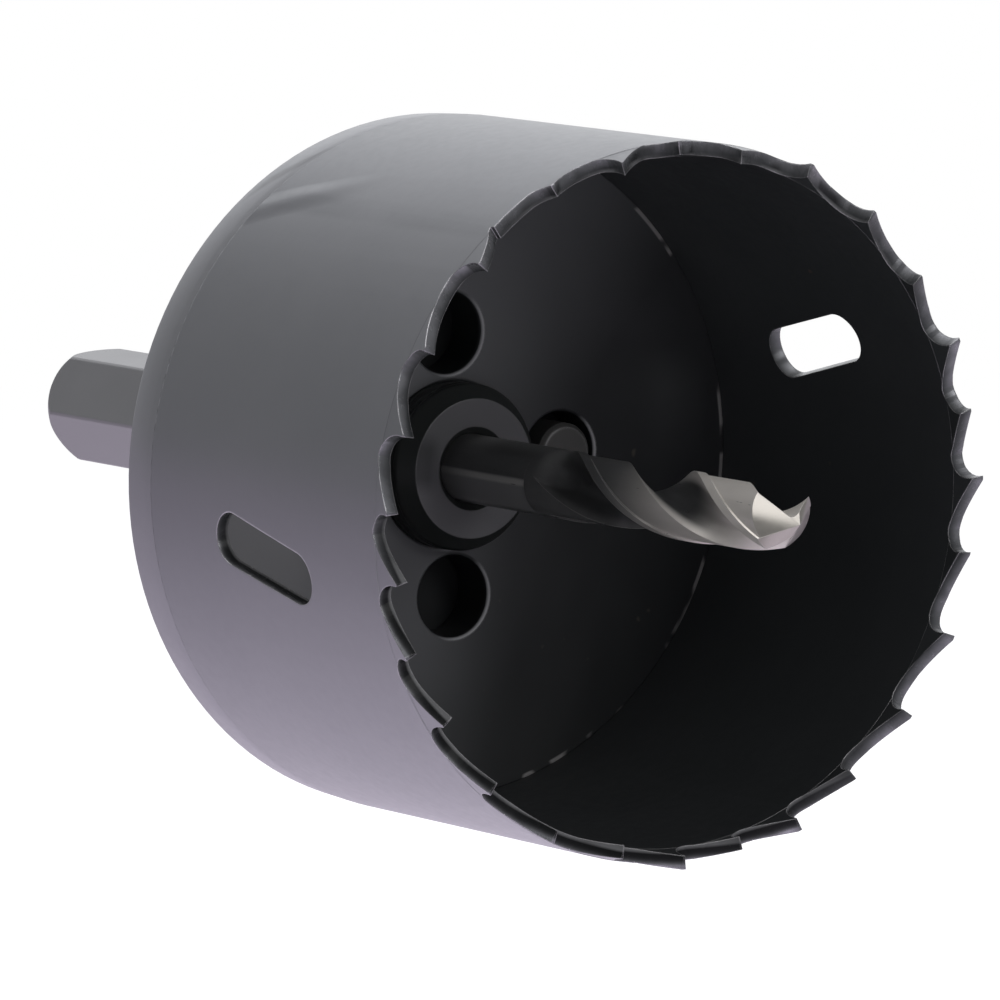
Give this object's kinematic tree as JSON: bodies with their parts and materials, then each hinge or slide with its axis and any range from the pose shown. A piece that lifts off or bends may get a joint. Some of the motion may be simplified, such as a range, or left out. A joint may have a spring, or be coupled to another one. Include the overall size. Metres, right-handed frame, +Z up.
{
  "type": "hole saw",
  "caption": "Cup-shaped hole saw with a toothed rim, slotted wall, twist pilot drill and hexagonal-shank arbor.",
  "frame": {"origin": "centre of the shank's rear end face, where the tool is held", "axes": "Y along the tool axis: +Y points out of the shank's rear end, the teeth and the drill's point face -Y; +Z up; +X to the right seen from the teeth"},
  "size_m": [0.0656, 0.1173, 0.0656],
  "materials": {
    "band_steel": "thin dark grey coat with a soft sheen",
    "plate_steel": "thin dark grey coat, satin",
    "arbor_steel": "darkened turned steel, satin",
    "dark_steel": "blackened steel, satin",
    "pin_steel": "ground steel",
    "screw_steel": "black oxide",
    "drill_steel": "bright ground high-speed steel"
  },
  "bodies": {
    "root": {"saw_band": "band_steel", "base_plate": "plate_steel", "arbor_body": "arbor_steel", "drive_plate": "dark_steel", "drive_pin_1": "pin_steel", "drive_pin_2": "pin_steel", "lock_nut": "dark_steel", "set_screw": "screw_steel", "pilot_drill": "drill_steel"}
  },
  "joints": []
}
